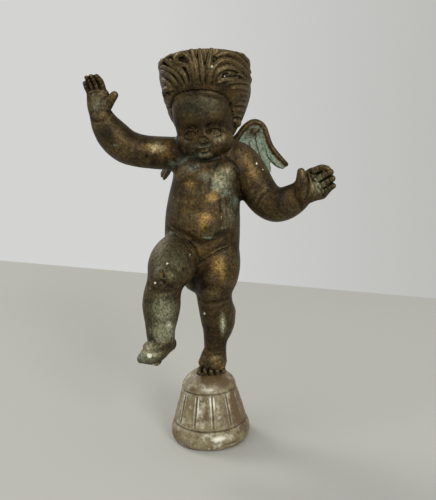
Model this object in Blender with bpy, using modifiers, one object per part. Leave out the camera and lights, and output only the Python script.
# A winged putto in patinated cast metal, dancing on one leg on a bell-shaped pedestal.
# The figure is one casting. The pedestal is a piece of its own, under the standing foot.
# Metres, +Z up, the figure faces -Y. The origin is the centre of the pedestal's underside.

import math

import bmesh
import bpy
import numpy as np
from mathutils import Matrix, Vector
from mathutils.bvhtree import BVHTree

# Driving dimensions, in metres
FIGURE_HEIGHT = 0.202
PEDESTAL_HEIGHT = 0.0447
BAND_RADIUS = 0.0266
UNDERSIDE_RADIUS = 0.0230
BAND_HEIGHT = 0.0126
DRUM_FOOT_RADIUS = 0.0242
DRUM_HEAD_RADIUS = 0.0181
CAP_START = 0.0346
SEAT_RADIUS = 0.0102
RING_GROOVE = 0.0006
PANEL_COUNT = 12
PANEL_PHASE = 6
RIB_WIDTH = 0.0010
RIB_STANDOUT = 0.0004
FLUTE_WIDTH = 0.0011
FLUTE_DEPTH = 0.0010
FLUTE_OVERRUN = 0.0004
BAR_REACH = 0.0020
SOLE_GAP = 0.0003

# The figure is laid out on a grid of 202 units from the sole to the flat top of the hair
GRID_HEIGHT = 202
UNIT = FIGURE_HEIGHT / GRID_HEIGHT

# Finishes as they look: base colour, metallic and roughness
DARK_BRONZE = ((0.105, 0.070, 0.036), 0.85, 0.45)
CREAM_COAT = ((0.42, 0.38, 0.29), 0.0, 0.7)

# Clay stages: voxel sizes in grid units, smoothing passes, and the triangles of the cast
BODY_VOXEL = 1.1
DETAIL_VOXEL = 0.7
BODY_SMOOTHING = 12
DETAIL_SMOOTHING = 1
FIGURE_TRIANGLES = 7500

# Torso from the crotch to the neck: x, y, z, half width, half depth
TORSO = [
    (-2.0, 2.5, 64, 14, 12),
    (-1.5, 2.5, 72, 21.5, 17.5),
    (-1.0, 2.0, 82, 24.2, 19),
    (-0.6, 1.0, 93, 24.7, 20),
    (0.2, -0.2, 104, 24.3, 20.5),
    (1.6, 0.0, 115, 23.2, 19.6),
    (3.2, 1.0, 125, 22.0, 18),
    (4.2, 2.0, 134, 21.4, 16.5),
    (4.4, 2.5, 142, 18.5, 14.5),
    (4.0, 2.0, 149, 12.5, 11.5),
    (3.4, 0.0, 156, 10, 10),
    (3.2, -1.0, 164, 9.5, 9.5),
]
# Limbs from the trunk outwards: x, y, z, half width, half depth
STANDING_LEG = [
    (9.5, 1.5, 86, 13.5, 14.5),
    (8.6, -0.5, 74, 15.2, 16.5),
    (6.8, -2.0, 63, 14.8, 15.5),
    (5.7, -2.5, 54, 12.0, 12.8),
    (6.2, -1.5, 46, 11.6, 12),
    (7.5, 1.0, 38, 12.0, 12.6),
    (7.2, 1.6, 29.5, 10.8, 11.2),
    (5.6, 0.8, 21.5, 8.1, 8.8),
    (5.0, 0.8, 14, 7.5, 8.4),
    (5.0, 1.2, 7, 7.7, 8.8),
]
RAISED_LEG = [
    (-10.5, 1.0, 83, 13.5, 14.5),
    (-14.6, -8, 80.8, 14.8, 15.0),
    (-18.2, -17, 77.6, 15.2, 15.0),
    (-20.8, -25, 72.6, 14.2, 14),
    (-23.4, -29.5, 66, 11.2, 12.4),
    (-25.4, -29.5, 59, 11.4, 12.2),
    (-26.3, -28.5, 52, 11.8, 12.4),
    (-27.0, -27.5, 44, 10.5, 11),
    (-27.8, -27, 36, 9.0, 9.6),
    (-27.6, -26.8, 29.5, 8.6, 9.2),
]
RAISED_ARM = [
    (-6, 3.5, 143.0, 11, 11),
    (-16, 3.5, 144.2, 11.0, 11),
    (-27, 3.0, 145.4, 10.7, 10.6),
    (-37, 2.0, 146.6, 10.6, 10.4),
    (-47.4, 1.0, 150.0, 11.0, 10.6),
    (-54.6, 0.0, 156.8, 10.8, 10.2),
    (-59.0, -1.5, 163.5, 9.2, 8.8),
    (-61.6, -3.0, 170.3, 7.2, 6.8),
]
LOWERED_ARM = [
    (13, 4.0, 141, 12, 12),
    (23.5, 3.5, 138.5, 12.6, 12.4),
    (31, 2.0, 129.5, 12.4, 12),
    (35.4, 0.0, 121.5, 11.9, 11.4),
    (40.2, -2.5, 114, 11.5, 11),
    (46.2, -5.0, 110.0, 11.4, 11),
    (52.2, -8.5, 110.4, 10.7, 10.4),
    (58.0, -12.5, 113.6, 9.6, 9.2),
    (62.2, -15.5, 117.0, 8.2, 7.4),
]
# Fat, muscle and bone under the skin: x, y, z, and the three radii
MASSES = [
    (-1.0, -8.0, 101, 17.5, 15.0, 16.5),
    (-11.5, 11.5, 80, 12.5, 11.5, 13.5),
    (9.5, 11.5, 78, 12.5, 11.5, 13.5),
    (-6.0, -6.8, 130, 11, 9, 9),
    (13.5, -6.8, 131, 11, 9, 9),
    (5.0, -13.6, 56.5, 6.5, 3.5, 6),
    (-22.0, -38.2, 71.0, 7.5, 4.5, 6.5),
    (12.0, 7.0, 38, 8, 7.5, 10),
    (-24.5, -20.5, 53, 9.5, 8, 10),
    (-2.6, -10, 79, 7, 6.5, 6),
]
# The head turns a little to the figure's right and nods
HEAD_CENTRE = (3.8, -1.5, 160)
HEAD_TURN = -6
HEAD_NOD = 5
HEAD_MASSES = [
    (0, 2, 4, 18.2, 19, 18),
    (0, -2, -1.5, 18.2, 17, 18.5),
    (0, -6.5, -9.8, 15.8, 12.6, 9.6),
]
FOREHEAD = [
    (0, -3.5, -3, 17.0, 14.6),
    (0, -4.0, 8, 17.6, 15.6),
    (0, -4.0, 16, 17.2, 15.4),
    (0, -2.5, 21, 15.6, 14.2),
]
# Features of one side of the face, in the head's own axes, and those on its middle line
PAIRED_FEATURES = [
    (9.2, -8.8, -9.0, 8.8, 8.6, 8.0),
    (7.4, -14.2, -2.4, 4.0, 3.4, 3.0),
    (1.9, -18.9, -8.2, 1.7, 2.0, 1.5),
]
MIDDLE_FEATURES = [
    (0, -14.6, -16.0, 5.2, 3.6, 3.2),
    (0, -19.8, -7.2, 2.2, 2.9, 2.2),
    (0, -17.8, -2.0, 2.0, 2.7, 5.4),
    (0, -17.4, -12.2, 4.0, 2.4, 1.3),
    (0, -17.0, -14.4, 3.1, 2.4, 1.4),
]
# Hollows of the face, in the head's axes: reach, depth, path. Those with a side are mirrored
SOCKETS = [(4.6, 1.7, [(4.2, -17.5, -1.4), (7.4, -17, -0.6), (10.6, -15.4, -1.6)])]
MOUTH_LINE = [(1.0, 0.7, [(-4.4, -18.2, -13.0), (0, -19.6, -13.4), (4.4, -18.2, -13.0)])]
NOSTRILS = [(1.0, 0.8, [(1.2, -20.6, -9.4), (2.0, -20.0, -9.4)])]
# Hair: a vase that flares from the nape to its flat top: x, y, z, half width, half depth
HAIR = [
    (6.0, 9.5, 150, 10.5, 8.5),
    (6.4, 8.5, 156, 16.0, 12.5),
    (6.2, 7.0, 161.5, 20.0, 16),
    (5.6, 6.0, 166.5, 22.8, 18.8),
    (5.5, 4.5, 172.5, 25.6, 21),
    (5.3, 3.2, 181, 27.4, 22),
    (5.2, 1.4, 185, 28.0, 24.6),
    (5.2, 0.5, 190, 28.4, 26.0),
    (4.6, 0.0, 201.5, 28.8, 26.8),
    (4.5, 0.0, 206, 28.8, 26.8),
]
# Locks on the vase: half width, then the path as degrees from the front and height
LOCKS = [
    (1.9, [(-17, 182), (-25, 188.6), (-36, 194), (-47, 198.5), (-62, 202)]),
    (1.7, [(-22, 182), (-32, 188.2), (-46, 193.3), (-60, 197), (-78, 199)]),
    (1.6, [(-29, 181.6), (-41, 186.9), (-54, 192), (-68, 194), (-88, 194), (-104, 193)]),
    (1.6, [(-37, 181), (-50, 184.8), (-62, 188), (-80, 189), (-102, 188)]),
    (2.2, [(-11, 182), (-13, 190.7), (-15, 195.5), (-20, 199.3), (-27, 200), (-33, 198.2), (-31, 195.7),
           (-25, 194.9)]),
    (1.7, [(-14, 182), (-17, 189.8), (-22, 193.7), (-32, 193.9), (-41, 197.4), (-45, 200.3)]),
    (1.6, [(-8, 181.4), (-10, 188.5), (-11, 195.3), (-14, 203)]),
    (1.5, [(-5.5, 181.4), (-6, 188.4), (-6, 195.2), (-6, 203)]),
    (1.6, [(-3, 181.4), (-1, 190.4), (2, 197), (4, 203)]),
    (1.6, [(-0.5, 181.4), (5, 189.5), (11, 196.4), (17, 203)]),
    (2.3, [(2, 181.2), (6, 187.7), (14, 193.1), (24, 195.7), (38, 194.9), (50, 192.1), (64, 188.6),
           (84, 187), (104, 186)]),
    (1.8, [(5, 181.2), (11, 186.9), (19, 190.4), (28, 191.8), (39, 191.3), (50, 188.8)]),
    (1.6, [(9, 181), (17, 184), (30, 185.4), (42, 186.6)]),
    (1.7, [(14, 180.4), (27, 183), (41, 184.6), (60, 185), (82, 183), (104, 181)]),
    (1.7, [(21, 179.4), (34, 181), (51, 181.8), (71, 181.4), (92, 179)]),
    (1.6, [(27, 177.4), (42, 178.8), (62, 179), (84, 177), (104, 176)]),
    (1.6, [(31, 174.8), (45, 176), (64, 176), (86, 174)]),
    (1.6, [(34, 171.8), (49, 173), (68, 172.6), (90, 171), (104, 170)]),
    (1.6, [(38, 168.8), (51, 169.8), (69, 169.2), (90, 167)]),
    (1.5, [(43, 165.6), (54, 166.4), (70, 166), (88, 163.6)]),
    (2.8, [(50, 163.2), (60, 162), (70, 160.4)]),
    (2.0, [(15, 197.7), (25, 199.9), (37, 199.8), (50, 197.2), (64, 194), (84, 193), (104, 193)]),
    (1.8, [(36, 203.5), (50, 201.4), (65, 199), (84, 198), (104, 199)]),
    (2.0, [(-41, 181.2), (-54, 182.6), (-68, 182), (-69, 179), (-58, 177.2)]),
    (1.8, [(-45, 177), (-57, 175.5), (-74, 174), (-90, 171), (-104, 168)]),
    (1.8, [(-49, 171.6), (-62, 170.2), (-79, 167.7), (-94, 163.6)]),
    (1.6, [(-70, 190), (-80, 184), (-96, 180), (-108, 176)]),
    (1.9, [(-41, 201.4), (-54, 199.8), (-68, 198.6), (-86, 199), (-104, 199)]),
]
# Hollows between the locks
HAIR_HOLLOWS = [
    (2.4, 1.4, [(-27, 197.8), (-24, 197.4)]),
    (2.4, 1.8, [(22, 187.6), (27, 188.2)]),
    (2.2, 1.6, [(-56, 179.6), (-50, 179.4)]),
    (2.0, 1.4, [(43, 203), (47, 202.6)]),
    (1.6, 1.0, [(-17, 193.1), (-15, 187)]),
]
BACK_STRANDS = 11
STRAND_SWAY = 4
LOCK_RISE = 1.25
# Locks lie deeper from the temples round to the back, so that the outline stays even
SIDE_SINK = 2.0
# Wing roots, the turn back about the upright and the lean about the span, in degrees
LEFT_WING = (17, 15, 149)
LEFT_TURNS = (5, 0)
RIGHT_WING = (-9.6, 15, 144.5)
RIGHT_TURNS = (-70, -30)
# The fleshy root of a wing, in the wing's own axes: centre and the three radii
WING_ROOT = (2, -1.5, 0, 6, 3.5, 6)
# A wing in its own plane, span and height from the root, with half widths
WING_EDGE = [(-6, -10), (3, -2.4), (9.0, 7.0), (13.4, 12.2), (18.4, 15.0), (23.0, 14.0), (26.0, 10.4),
             (27.6, 5.2), (30.4, -1.4), (35.2, -6.8), (40.0, -11.2)]
FEATHERS = [
    (3.3, [(23.4, 11.0), (25.8, 4.2), (27.6, -1.8), (30.4, -6.4), (34.8, -10.0), (38.4, -12.2)]),
    (2.8, [(21.4, 6.6), (22.8, -0.6), (24.6, -6.9), (26.8, -12.3), (27.9, -15.4)]),
    (2.6, [(17.4, 3.0), (17.9, -2.0), (18.8, -8)]),
    (2.3, [(13.2, 1.0), (13.8, -3.2), (14.2, -9)]),
    (2.2, [(9.4, 0), (9.8, -3), (10.2, -9)]),
]
WING_WEB = [
    (5.5, [(0, -6), (7, 1), (14, 6.6), (20, 9.6), (23, 10.2)]),
    (3.6, [(21.5, 10), (24.0, 2), (26.2, -4.5), (28.6, -9)]),
    (3.6, [(14, 3), (18, -1), (21, -6), (23, -10)]),
    (3.6, [(8, -1), (12, -4), (15, -8)]),
]
# Creases in the flesh: reach, depth, and the path over the front as x and height
HAIRLINE = [(-13.6, 158), (-15, 166), (-15, 173), (-11.6, 179.5), (-6, 181.6), (0, 182), (6, 181.8),
            (12.4, 180.4), (16.8, 178), (19.4, 173.5), (20.6, 167), (20.8, 160), (21, 153)]
FRONT_CREASES = [
    (1.9, 1.5, HAIRLINE),
    (3.4, 1.5, [(-17, 98), (-12, 94.5), (-7.5, 91), (-1.8, 88.2), (4, 88.8), (9, 91.5), (15, 96)]),
    (2.0, 1.0, [(-19, 95), (-12, 90), (-7.5, 84.5), (-4.5, 78.5)]),
    (2.0, 0.9, [(-1.5, 76), (4.5, 80), (10, 82.8), (17, 84)]),
    (1.8, 1.3, [(1.6, 97), (1.9, 97.8)]),
    (3.0, 0.5, [(4.0, 120), (4.4, 128), (4.2, 136)]),
    (2.2, 0.9, [(-31, 66.2), (-26, 63), (-20, 62), (-15, 62.6)]),
    (1.8, 0.8, [(-4, 51.5), (2, 49.6), (8, 50), (14, 51.5)]),
    (1.6, 0.6, [(-35, 31), (-29, 28.6), (-22, 28.4)]),
    (1.6, 0.7, [(-66.5, 165), (-61, 163.5), (-54.5, 165.5)]),
]
BACK_CREASES = [
    (2.8, 2.4, [(-1.5, 66), (-1.5, 74), (-1.0, 84), (-0.5, 90)]),
    (3.2, 1.1, [(-0.5, 92), (0.5, 104), (2, 118), (3.6, 134)]),
]


# Building blocks

def clear_scene():
    for obj in list(bpy.data.objects):
        bpy.data.objects.remove(obj, do_unlink=True)


def smooth_path(stations, steps):
    """Catmull-Rom interpolation of a list of stations, every column alike."""
    rows = np.array(stations, float)
    ends = np.vstack([2 * rows[0] - rows[1], rows, 2 * rows[-1] - rows[-2]])
    out = []
    for i in range(1, len(ends) - 2):
        a, b, c, d = ends[i - 1:i + 3]
        for t in np.arange(steps) / steps:
            out.append(0.5 * (2 * b + (c - a) * t + (2 * a - 5 * b + 4 * c - d) * t ** 2
                              + (3 * b - a - 3 * c + d) * t ** 3))
    out.append(rows[-1])
    return np.array(out)


def ahead(centre):
    return np.array((0.0, -1.0, 0.0))


def upward(centre):
    return np.array((0.0, 0.0, 1.0))


def off_the_hair(centre):
    return np.array((centre[0] - HAIR[-1][0], centre[1] - HAIR[-1][1], 0.0))


def loft(clay, stations, sides=24, steps=4, front=ahead):
    """A closed tube of elliptical sections through the stations, with domed ends."""
    path = smooth_path(stations, steps)
    centres = path[:, :3]
    radii = path[:, 3:5]
    tangents = np.gradient(centres, axis=0)
    tangents /= np.linalg.norm(tangents, axis=1)[:, None]
    dome = [(math.cos(math.radians(a)), math.sin(math.radians(a))) for a in (20, 45, 70)]
    rings = [(centres[0] - tangents[0] * out * radii[0].min(), radii[0] * share, tangents[0])
             for out, share in dome]
    rings += list(zip(centres, radii, tangents))
    rings += [(centres[-1] + tangents[-1] * out * radii[-1].min(), radii[-1] * share, tangents[-1])
              for out, share in reversed(dome)]
    loops = []
    for centre, (wide, deep), along in rings:
        depth = front(centre)
        depth = depth - along * (depth @ along)
        depth /= np.linalg.norm(depth)
        side = np.cross(along, depth)
        turns = [2 * math.pi * k / sides for k in range(sides)]
        loops.append([clay.verts.new(centre + side * wide * math.cos(a) + depth * deep * math.sin(a))
                      for a in turns])
    for low, high in zip(loops, loops[1:]):
        for k in range(sides):
            clay.faces.new((low[k], low[(k + 1) % sides], high[(k + 1) % sides], high[k]))
    clay.faces.new(loops[0][::-1])
    clay.faces.new(loops[-1])


def ball(clay, centre, radii, place=Matrix.Identity(4)):
    """An ellipsoid."""
    shape = place @ Matrix.Translation(centre) @ Matrix.Diagonal((*radii, 1))
    bmesh.ops.create_uvsphere(clay, u_segments=24, v_segments=16, radius=1, matrix=shape)


def finish(obj, name, look):
    """Gives the object a material of its own."""
    colour, metallic, roughness = look
    material = bpy.data.materials.new(name)
    material.use_nodes = True
    shader = material.node_tree.nodes["Principled BSDF"]
    shader.inputs["Base Color"].default_value = (*colour, 1)
    shader.inputs["Metallic"].default_value = metallic
    shader.inputs["Roughness"].default_value = roughness
    obj.data.materials.clear()
    obj.data.materials.append(material)


def gather(name, objects):
    """Puts the finished objects in one collection."""
    group = bpy.data.collections.new(name)
    bpy.context.scene.collection.children.link(group)
    for obj in objects:
        for held in list(obj.users_collection):
            held.objects.unlink(obj)
        group.objects.link(obj)


def mesh_object(name, clay):
    mesh = bpy.data.meshes.new(name)
    bmesh.ops.recalc_face_normals(clay, faces=clay.faces)
    clay.to_mesh(mesh)
    clay.free()
    obj = bpy.data.objects.new(name, mesh)
    bpy.context.scene.collection.objects.link(obj)
    return obj


def applied(obj):
    """The object with its modifiers applied."""
    graph = bpy.context.evaluated_depsgraph_get()
    mesh = bpy.data.meshes.new_from_object(obj.evaluated_get(graph))
    obj.modifiers.clear()
    old = obj.data
    obj.data = mesh
    bpy.data.meshes.remove(old)
    return obj


def knead(obj, voxel, smoothing):
    """Fuses overlapping shapes into one skin and softens the joins, as with clay."""
    remesh = obj.modifiers.new("Fuse", "REMESH")
    remesh.mode = "VOXEL"
    remesh.voxel_size = voxel
    soften = obj.modifiers.new("Soften", "SMOOTH")
    soften.factor = 0.5
    soften.iterations = smoothing
    return applied(obj)


def press(obj, strokes):
    """Pushes the skin in along each stroke: reach, depth, and a path of points."""
    mesh = obj.data
    count = len(mesh.vertices)
    spots = np.empty(count * 3, np.float32)
    mesh.vertices.foreach_get("co", spots)
    spots = spots.reshape(-1, 3).astype(float)
    normals = np.empty(count * 3, np.float32)
    mesh.vertices.foreach_get("normal", normals)
    normals = normals.reshape(-1, 3)
    push = np.zeros(count)
    for reach, depth, path in strokes:
        path = smooth_path(path, 4)
        nearest = np.full(count, np.inf)
        for a, b in zip(path, path[1:]):
            along = b - a
            share = np.clip((spots - a) @ along / max(along @ along, 1e-9), 0, 1)
            nearest = np.minimum(nearest, np.linalg.norm(spots - a - share[:, None] * along, axis=1))
        fade = np.clip(1 - (nearest / reach) ** 2, 0, 1) ** 2
        push = np.where(np.abs(depth * fade) > np.abs(push), depth * fade, push)
    mesh.vertices.foreach_set("co", (spots - normals * push[:, None]).astype(np.float32).ravel())
    mesh.update()


def skin(obj):
    graph = bpy.context.evaluated_depsgraph_get()
    return BVHTree.FromObject(obj, graph)


def on_skin(tree, path, facing):
    """Points of the skin in front of (facing -1) or behind (facing 1) a path of x and height."""
    hits = [tree.ray_cast(Vector((x, 90 * facing, z)), Vector((0, -facing, 0)))[0] for x, z in path]
    return [tuple(hit) for hit in hits if hit]


def head_place():
    turn = Matrix.Rotation(math.radians(HEAD_TURN), 4, "Z")
    nod = Matrix.Rotation(math.radians(HEAD_NOD), 4, "X")
    return Matrix.Translation(HEAD_CENTRE) @ turn @ nod


def on_head(strokes, sides):
    """Strokes laid out in the head's axes, once for each side."""
    place = head_place()
    return [(reach, depth, [tuple(place @ Vector((side * x, y, z))) for x, y, z in path])
            for reach, depth, path in strokes for side in sides]


# The figure, part by part

def add_body(clay):
    for stations in (TORSO, STANDING_LEG, RAISED_LEG, RAISED_ARM, LOWERED_ARM):
        loft(clay, stations)
    for x, y, z, *radii in MASSES:
        ball(clay, (x, y, z), radii)
    for x, y, z, *radii in HEAD_MASSES:
        ball(clay, (x, y, z), radii, head_place())
    place = head_place()
    loft(clay, [(*(place @ Vector((x, y, z))), wide, deep) for x, y, z, wide, deep in FOREHEAD])


def add_face(clay):
    for x, y, z, *radii in MIDDLE_FEATURES:
        ball(clay, (x, y, z), radii, head_place())
    for x, y, z, *radii in PAIRED_FEATURES:
        for side in (-1, 1):
            ball(clay, (side * x, y, z), radii, head_place())


def hair_point(angle, height, lift=0):
    """A point of the hair's vase, at so many degrees from the front, lifted off its wall."""
    rows = np.array(HAIR, float)
    x, y, wide, deep = (np.interp(height, rows[:, 2], rows[:, k]) for k in (0, 1, 3, 4))
    a = math.radians(angle)
    return (x + (wide + lift) * math.sin(a), y - (deep + lift) * math.cos(a), height)


def lock_lift(angle):
    off_front = abs((angle + 180) % 360 - 180)
    return -SIDE_SINK * min(max((off_front - 40) / 30, 0), 1)


def add_lock(clay, width, path):
    last = len(path) - 1
    stations = []
    for i, (angle, height) in enumerate(path):
        share = 0.6 if i in (0, last) else 1
        spot = hair_point(angle, height, lock_lift(angle))
        stations.append((*spot, width * share, width * share * LOCK_RISE))
    loft(clay, stations, sides=12, front=off_the_hair)


def add_hair(clay):
    loft(clay, HAIR, sides=40)
    for width, path in LOCKS:
        add_lock(clay, width, path)
    for k in range(BACK_STRANDS):
        angle = 106 + k * (254 - 106) / (BACK_STRANDS - 1)
        add_lock(clay, 2.9, [(angle, 157), (angle + STRAND_SWAY, 168), (angle - STRAND_SWAY, 181),
                             (angle + STRAND_SWAY, 193), (angle, 205)])


def add_feet(clay):
    # standing foot: heel, instep, ball and five toes over the pedestal's edge
    loft(clay, [(6.0, 6.5, 4.6, 6.8, 4.8), (5.0, 0, 5.0, 7.4, 5.6), (3.2, -6, 4.2, 8.8, 4.4),
                (2.0, -10.5, 3.0, 9.4, 3.0)], front=upward)
    for k in range(5):
        x = -6.4 + 4.1 * k
        loft(clay, [(x, -10, 2.8, 1.9, 2.2), (x - 0.2 * (2 - k), -14.6 + 0.22 * k * k, 1.9, 1.9, 2.1)],
             sides=12, front=upward)
    # raised foot, hanging forward with its toes down
    loft(clay, [(-24.4, -22.5, 26.4, 6.0, 5.4), (-27.6, -28.5, 26.6, 7.2, 6.4),
                (-31.2, -35, 24.8, 8.4, 5.0), (-34.0, -38, 22.8, 7.8, 3.6)], front=upward)
    for k in range(5):
        along = k / 4
        base = (-38.8 + 9.6 * along, -36.5 - 2.2 * along, 23.8 - 2.4 * along, 1.9, 1.9)
        tip = (-39.6 + 9.4 * along, -40.0 - 1.2 * along, 22.8 - 2.2 * along, 1.9, 1.8)
        loft(clay, [base, tip], sides=12, front=upward)


def add_finger(clay, base, middle, tip, radius):
    loft(clay, [(*base, radius, radius), (*middle, radius * 1.02, radius * 1.02),
                (*tip, radius * 0.9, radius * 0.9)], sides=12, front=upward)


def add_hands(clay):
    # raised hand, palm to the front
    loft(clay, [(-61.6, -3.5, 170.5, 6.9, 5.6), (-62.0, -5, 176, 7.2, 4.6), (-61.8, -6, 182.5, 7.0, 3.4)])
    add_finger(clay, (-67.2, -6, 182.5), (-68.4, -7.5, 186.0), (-68.6, -10, 188.4), 1.5)
    add_finger(clay, (-64.6, -6.2, 183.0), (-66.0, -8.5, 189.0), (-67.0, -11.5, 192.2), 1.6)
    add_finger(clay, (-61.4, -6.4, 183.5), (-62.8, -8.8, 189.6), (-64.0, -12, 193.0), 1.65)
    add_finger(clay, (-57.8, -6.2, 183.0), (-59.2, -8.4, 189.6), (-60.8, -11.5, 193.0), 1.8)
    loft(clay, [(-59.0, -5.5, 173.4, 4.6, 4.0), (-56.2, -7, 175.8, 3.9, 3.4), (-53.2, -8.5, 178.4, 3.0, 2.8),
                (-50.9, -9.5, 180.6, 2.5, 2.3)], sides=16)
    # lowered hand, cupped to the front
    loft(clay, [(62.2, -15.5, 117.0, 8.2, 7.0), (66.6, -18, 120.2, 9.6, 5.0), (71.4, -19.4, 122.6, 10.4, 3.6),
                (76.2, -20.2, 124.4, 8.0, 2.4)])
    add_finger(clay, (68.5, -22.0, 130.0), (72.5, -24.5, 131.5), (75.6, -27.0, 130.8), 2.2)
    add_finger(clay, (70.8, -22.3, 125.3), (74.0, -25.0, 127.4), (77.3, -27.8, 128.9), 2.3)
    add_finger(clay, (72.8, -22.1, 120.9), (75.7, -24.6, 123.1), (78.5, -27.4, 125.0), 2.2)
    add_finger(clay, (74.8, -21.6, 117.3), (77.1, -23.8, 119.1), (79.2, -26.4, 120.7), 2.0)
    loft(clay, [(60.8, -18, 112.6, 3.0, 3.4), (60.7, -21.5, 117.3, 3.8, 3.4), (60.9, -24, 123.6, 3.9, 3.2),
                (60.4, -25.6, 127.6, 3.0, 2.6), (60.2, -26, 130.0, 2.3, 2.1)], sides=16)


def add_feather(clay, place, points, wide, thick):
    """A long flat feather along points of the wing's plane, as span and height."""
    last = len(points) - 1
    stations = []
    for i, (span, height) in enumerate(points):
        share = 0.72 if i == last else 1
        stations.append((*(place @ Vector((span, 0, height))), wide * share, thick * share))
    facing = np.array(place.to_3x3() @ Vector((0, -1, 0)))
    loft(clay, stations, sides=16, front=lambda centre: facing)


def add_wing(clay, root, turns, side):
    """A small raised wing: a rolled leading edge round overlapping feathers on a thin web."""
    sweep, lean = (math.radians(turn) for turn in turns)
    place = Matrix.Translation(root) @ Matrix.Rotation(sweep, 4, "Z") @ Matrix.Rotation(lean, 4, "X")
    place = place @ Matrix.Diagonal((side, 1, 1, 1))
    ball(clay, WING_ROOT[:3], WING_ROOT[3:], place)
    add_feather(clay, place, WING_EDGE, 2.2, 2.2)
    for width, path in FEATHERS:
        add_feather(clay, place, path, width, 1.6)
    for width, path in WING_WEB:
        add_feather(clay, place, path, width, 1.0)


def make_figure():
    clay = bmesh.new()
    add_body(clay)
    figure = knead(mesh_object("cherub", clay), BODY_VOXEL, BODY_SMOOTHING)
    press(figure, on_head(SOCKETS, (-1, 1)))
    clay = bmesh.new()
    clay.from_mesh(figure.data)
    bpy.data.objects.remove(figure)
    add_face(clay)
    add_hair(clay)
    add_feet(clay)
    add_hands(clay)
    add_wing(clay, LEFT_WING, LEFT_TURNS, 1)
    add_wing(clay, RIGHT_WING, RIGHT_TURNS, -1)
    figure = knead(mesh_object("cherub", clay), DETAIL_VOXEL, DETAIL_SMOOTHING)
    tree = skin(figure)
    strokes = [(reach, depth, on_skin(tree, path, -1)) for reach, depth, path in FRONT_CREASES]
    strokes += [(reach, depth, on_skin(tree, path, 1)) for reach, depth, path in BACK_CREASES]
    strokes += [(reach, depth, [hair_point(*spot, 1) for spot in path])
                for reach, depth, path in HAIR_HOLLOWS]
    strokes += on_head(MOUTH_LINE, (1,)) + on_head(NOSTRILS, (-1, 1))
    press(figure, strokes)
    thin = figure.modifiers.new("Thin", "DECIMATE")
    thin.ratio = FIGURE_TRIANGLES / (2 * len(figure.data.polygons))
    applied(figure)
    cut_flat(figure, 0, -1)
    cut_flat(figure, GRID_HEIGHT, 1)
    figure.data.transform(Matrix.Translation((0, 0, PEDESTAL_HEIGHT + SOLE_GAP)) @ Matrix.Scale(UNIT, 4))
    finish(figure, "dark_bronze", DARK_BRONZE)
    return figure


def cut_flat(obj, height, outward):
    """Saws the mesh off level and closes the cut."""
    clay = bmesh.new()
    clay.from_mesh(obj.data)
    everything = clay.verts[:] + clay.edges[:] + clay.faces[:]
    cut = bmesh.ops.bisect_plane(clay, geom=everything, plane_co=(0, 0, height),
                                 plane_no=(0, 0, outward), clear_outer=True)
    rim = [e for e in cut["geom_cut"] if isinstance(e, bmesh.types.BMEdge)]
    bmesh.ops.contextual_create(clay, geom=rim)
    bmesh.ops.recalc_face_normals(clay, faces=clay.faces)
    clay.to_mesh(obj.data)
    clay.free()


# The pedestal

def bell_profile():
    """Radius and height up the bell: rounded foot band, groove, straight drum, groove, dome."""
    points = [(0, 0), (UNDERSIDE_RADIUS, 0)]
    for share, up in ((0.93, 0.07), (0.97, 0.17), (1, 0.38), (0.99, 0.6), (0.955, 0.84)):
        points.append((BAND_RADIUS * share, BAND_HEIGHT * up))
    points.append((DRUM_FOOT_RADIUS + RING_GROOVE / 2, BAND_HEIGHT - RING_GROOVE))
    points.append((DRUM_FOOT_RADIUS - RING_GROOVE, BAND_HEIGHT))
    points.append((DRUM_FOOT_RADIUS, BAND_HEIGHT + RING_GROOVE))
    points.append((DRUM_HEAD_RADIUS, CAP_START - RING_GROOVE))
    points.append((DRUM_HEAD_RADIUS - RING_GROOVE * 1.5, CAP_START))
    points.append((DRUM_HEAD_RADIUS, CAP_START + RING_GROOVE))
    rise = PEDESTAL_HEIGHT - CAP_START - RING_GROOVE
    for share in (0.3, 0.55, 0.75, 0.9):
        radius = SEAT_RADIUS + (DRUM_HEAD_RADIUS - SEAT_RADIUS) * (1 - share ** 2)
        points.append((radius, CAP_START + RING_GROOVE + rise * share))
    points.append((SEAT_RADIUS, PEDESTAL_HEIGHT))
    points.append((0, PEDESTAL_HEIGHT))
    return points


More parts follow.
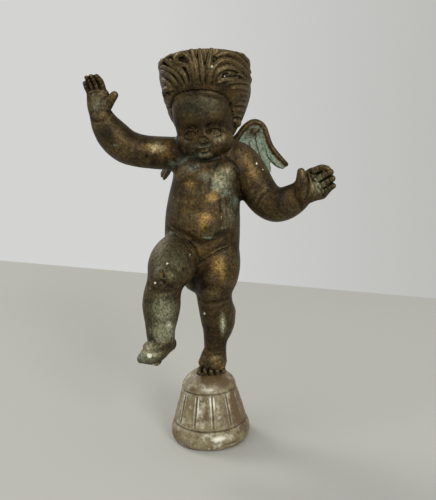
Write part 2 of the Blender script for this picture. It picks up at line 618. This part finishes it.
def drum_bars(width, out, into, overrun):
    """Upright bars on the drum, one set per panel line; out and into from the drum's wall."""
    clay = bmesh.new()
    low = BAND_HEIGHT + RING_GROOVE * 2 + FLUTE_OVERRUN - overrun
    high = CAP_START - RING_GROOVE * 2 - FLUTE_OVERRUN + overrun
    lean = math.atan2(DRUM_FOOT_RADIUS - DRUM_HEAD_RADIUS, CAP_START - BAND_HEIGHT - 2 * RING_GROOVE)
    middle = (DRUM_FOOT_RADIUS + DRUM_HEAD_RADIUS) / 2
    size = Matrix.Diagonal((width, out + into, (high - low) / math.cos(lean), 1))
    for k in range(PANEL_COUNT):
        turn = Matrix.Rotation(math.radians(PANEL_PHASE + k * 360 / PANEL_COUNT), 4, "Z")
        place = Matrix.Translation((0, -middle, (low + high) / 2)) @ Matrix.Rotation(-lean, 4, "X")
        shift = Matrix.Translation((0, (into - out) / 2, 0))
        bmesh.ops.create_cube(clay, size=1, matrix=turn @ place @ shift @ size)
    return clay


def combine(obj, clay, operation):
    tool = mesh_object(obj.name + "_tool", clay)
    modifier = obj.modifiers.new("Combine", "BOOLEAN")
    modifier.operation = operation
    modifier.solver = "EXACT"
    modifier.object = tool
    applied(obj)
    bpy.data.objects.remove(tool)


def make_pedestal():
    clay = bmesh.new()
    loop = [clay.verts.new((radius, 0, height)) for radius, height in bell_profile()]
    edges = [clay.edges.new(pair) for pair in zip(loop, loop[1:])]
    bmesh.ops.spin(clay, geom=loop + edges, axis=(0, 0, 1), cent=(0, 0, 0), steps=48,
                   angle=2 * math.pi, use_merge=True)
    bmesh.ops.remove_doubles(clay, verts=clay.verts, dist=1e-6)
    pedestal = mesh_object("bell_pedestal", clay)
    combine(pedestal, drum_bars(FLUTE_WIDTH + 2 * RIB_WIDTH, RIB_STANDOUT, BAR_REACH, 0), "UNION")
    flutes = drum_bars(FLUTE_WIDTH, BAR_REACH, FLUTE_DEPTH - RIB_STANDOUT, FLUTE_OVERRUN)
    combine(pedestal, flutes, "DIFFERENCE")
    finish(pedestal, "cream_coat", CREAM_COAT)
    return pedestal


clear_scene()
gather("cherub_statue", [make_figure(), make_pedestal()])
